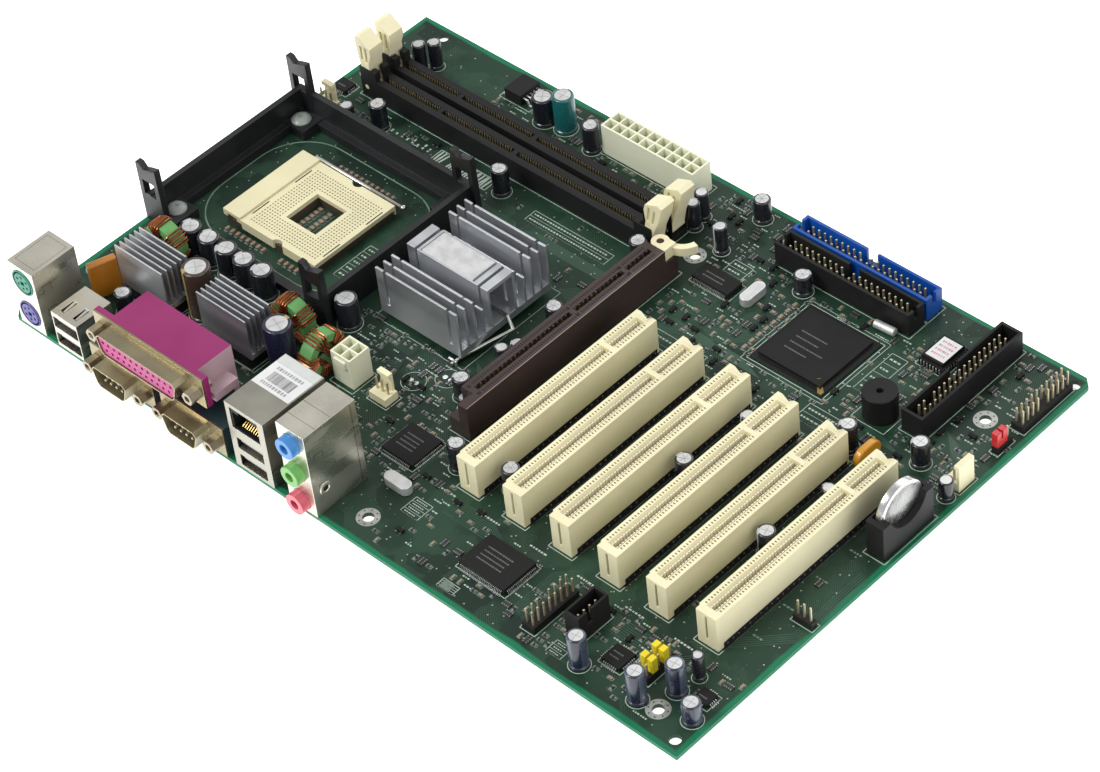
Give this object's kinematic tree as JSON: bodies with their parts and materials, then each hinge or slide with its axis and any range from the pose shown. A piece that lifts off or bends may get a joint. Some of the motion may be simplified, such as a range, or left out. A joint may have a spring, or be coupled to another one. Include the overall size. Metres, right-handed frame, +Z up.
{
  "type": "motherboard",
  "caption": "Full-size desktop computer motherboard with rear sockets, processor socket and cooler frame, memory, graphics and expansion slots, and cable headers.",
  "frame": {"origin": "centre of the four-hole mounting rectangle, on the underside of the board", "axes": "+X along the rear edge towards the expansion slots, +Y from the rear sockets to the front edge, +Z up from the component face"},
  "size_m": [0.3048, 0.206, 0.0371],
  "materials": {
    "board_green": "satin solder mask over glass epoxy",
    "nickel_shell": "nickel plated sheet, satin",
    "purple_plastic": "moulded, satin",
    "mint_plastic": "moulded, satin",
    "black_plastic": "moulded, satin",
    "pink_plastic": "moulded, satin",
    "teal_black_plastic": "moulded, satin",
    "screw_steel": "zinc plated",
    "audio_blue": "moulded, glossy",
    "audio_green": "moulded, glossy",
    "audio_pink": "moulded, glossy",
    "power_white": "natural nylon",
    "socket_brown": "moulded, satin",
    "socket_ivory": "moulded, satin",
    "steel_wire": "bright drawn wire",
    "frame_black": "moulded, fine texture",
    "rivet_grey": "natural nylon",
    "chip_black": "moulded epoxy",
    "sink_aluminium": "extruded, as drawn",
    "agp_brown": "moulded, satin",
    "slot_cream": "moulded, satin",
    "contact_gold": "gold flash",
    "ide_blue": "moulded, satin",
    "can_steel": "drawn can",
    "coin_steel": "stainless",
    "jumper_red": "moulded, glossy",
    "jumper_yellow": "moulded, glossy",
    "choke_green": "painted iron powder",
    "copper_wire": "enamelled copper",
    "sleeve_black": "shrink sleeve",
    "fuse_orange": "dipped coating"
  },
  "bodies": {
    "board": {"circuit_board": "board_green", "ps2_shell": "nickel_shell", "keyboard_socket": "purple_plastic", "mouse_socket": "mint_plastic", "usb_shell": "nickel_shell", "usb_inserts": "black_plastic", "parallel_housing": "pink_plastic", "parallel_shell": "nickel_shell", "serial_housings": "teal_black_plastic", "serial_shells": "nickel_shell", "dsub_jackscrews": "screw_steel", "lan_usb_shell": "nickel_shell", "lan_usb_insert": "black_plastic", "audio_shell": "nickel_shell", "line_in_jack": "audio_blue", "line_out_jack": "audio_green", "microphone_jack": "audio_pink", "main_power_socket": "power_white", "cpu_power_socket": "power_white", "cpu_socket_base": "socket_brown", "cooler_frame": "frame_black", "cooler_rivets": "rivet_grey", "northbridge_chip": "chip_black", "northbridge_heatsink": "sink_aluminium", "heatsink_clip": "steel_wire", "clip_anchors": "steel_wire", "agp_slot": "agp_brown", "pci_slots": "slot_cream", "dimm_slots": "black_plastic", "slot_contacts": "contact_gold", "ide_header_blue": "ide_blue", "ide_header_black": "black_plastic", "floppy_header": "black_plastic", "connector_pins": "contact_gold", "pin_header_bases": "black_plastic", "southbridge_chip": "chip_black", "bios_chip": "chip_black", "leaded_chips": "chip_black", "crystals": "can_steel", "buzzer": "black_plastic", "battery_holder": "black_plastic", "battery_spring": "contact_gold", "power_transistors": "chip_black", "vrm_heatsinks": "sink_aluminium", "choke_cores": "choke_green", "choke_windings": "copper_wire", "capacitors": "sleeve_black", "fan_headers": "slot_cream", "fuses": "fuse_orange"},
    "socket_cover": {"cpu_socket_cover": "socket_ivory"},
    "socket_lever": {"cpu_socket_lever": "steel_wire"},
    "memory_latch_a_left": {"dimm_latch_a_left": "slot_cream"},
    "memory_latch_a_right": {"dimm_latch_a_right": "slot_cream"},
    "memory_latch_b_left": {"dimm_latch_b_left": "slot_cream"},
    "memory_latch_b_right": {"dimm_latch_b_right": "slot_cream"},
    "graphics_latch": {"agp_latch": "slot_cream"},
    "battery": {"coin_cell": "coin_steel"},
    "red_jumper": {"jumper_red": "jumper_red"},
    "yellow_jumper_left": {"jumper_yellow_left": "jumper_yellow"},
    "yellow_jumper_right": {"jumper_yellow_right": "jumper_yellow"}
  },
  "joints": [
    {"name": "socket_lever_lift", "type": "hinge", "parent": "board", "child": "socket_lever", "pos_m": [-0.19826, 0.00937, 0.0048], "axis": [0, -1, 0], "range_deg": [0, 90]},
    {"name": "socket_cover_slide", "type": "slide", "parent": "board", "child": "socket_cover", "axis": [-1, 0, 0], "range_m": [0, 0.0009]},
    {"name": "memory_latch_a_left_tilt", "type": "hinge", "parent": "board", "child": "memory_latch_a_left", "pos_m": [-0.21076, 0.07147, 0.0058], "axis": [0, -1, 0], "range_deg": [0, 28]},
    {"name": "memory_latch_a_right_tilt", "type": "hinge", "parent": "board", "child": "memory_latch_a_right", "pos_m": [-0.07526, 0.07147, 0.0058], "axis": [0, 1, 0], "range_deg": [-13, 14]},
    {"name": "memory_latch_b_left_tilt", "type": "hinge", "parent": "board", "child": "memory_latch_b_left", "pos_m": [-0.21076, 0.08147, 0.0058], "axis": [0, -1, 0], "range_deg": [0, 28]},
    {"name": "memory_latch_b_right_tilt", "type": "hinge", "parent": "board", "child": "memory_latch_b_right", "pos_m": [-0.07526, 0.08147, 0.0058], "axis": [0, 1, 0], "range_deg": [-13, 14]},
    {"name": "graphics_latch_swing", "type": "hinge", "parent": "board", "child": "graphics_latch", "pos_m": [-0.06586, 0.06537, 0.0126], "axis": [0, 0, 1], "range_deg": [0, 20]},
    {"name": "battery_lift", "type": "slide", "parent": "board", "child": "battery", "axis": [0, 0, 1], "range_m": [0, 0.024]},
    {"name": "red_jumper_lift", "type": "slide", "parent": "board", "child": "red_jumper", "axis": [0, 0, 1], "range_m": [0, 0.009]},
    {"name": "yellow_jumper_left_lift", "type": "slide", "parent": "board", "child": "yellow_jumper_left", "axis": [0, 0, 1], "range_m": [0, 0.009]},
    {"name": "yellow_jumper_right_lift", "type": "slide", "parent": "board", "child": "yellow_jumper_right", "axis": [0, 0, 1], "range_m": [0, 0.009]}
  ],
  "couplings": [
    {"joint": "socket_cover_slide", "follows": "socket_lever_lift", "m_per_rad": 0.00057}
  ]
}
